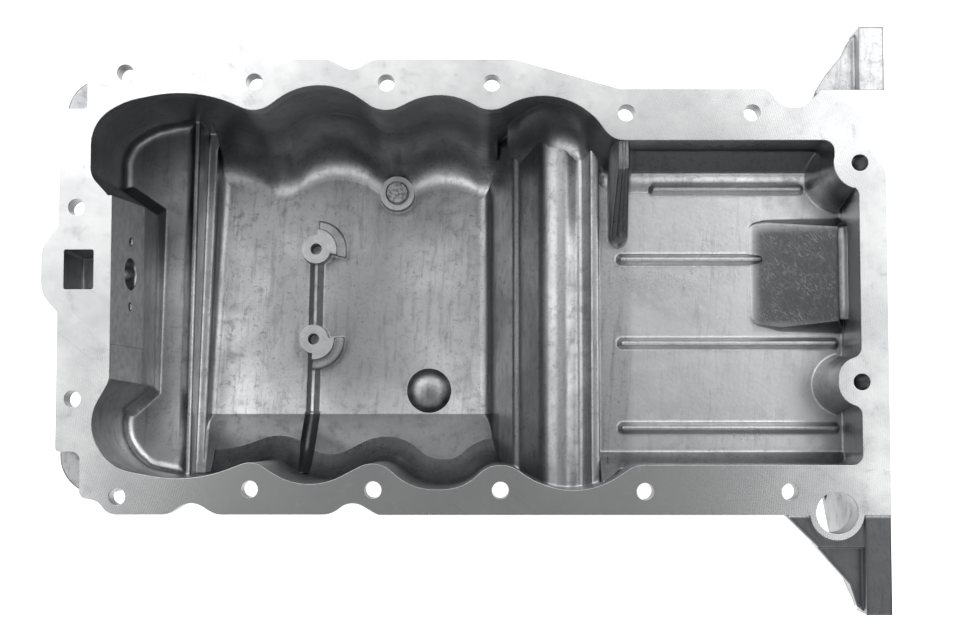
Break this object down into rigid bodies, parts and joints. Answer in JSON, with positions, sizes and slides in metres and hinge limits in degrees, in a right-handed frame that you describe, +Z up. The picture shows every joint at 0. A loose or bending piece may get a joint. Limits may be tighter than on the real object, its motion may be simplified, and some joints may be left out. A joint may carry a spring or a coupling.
{
  "type": "engine oil pan",
  "caption": "Cast aluminium engine oil pan with a deep sump, milled sealing rail, bellhousing flange and drain plug.",
  "frame": {"origin": "on the milled sealing face, midway between the two middle rail bolt holes", "axes": "+Z up out of the open pan, +X along the engine toward the bellhousing flange, +Y across the engine toward the side with the drain plug"},
  "size_m": [0.4536, 0.3156, 0.155],
  "materials": {
    "cast_aluminium": "die cast, with milled sealing and bellhousing faces",
    "plug_steel": "turned steel",
    "washer_metal": "soft aluminium sealing ring"
  },
  "bodies": {
    "root": {"pan_casting": "cast_aluminium", "drain_plug": "plug_steel", "drain_plug_washer": "washer_metal"}
  },
  "joints": []
}
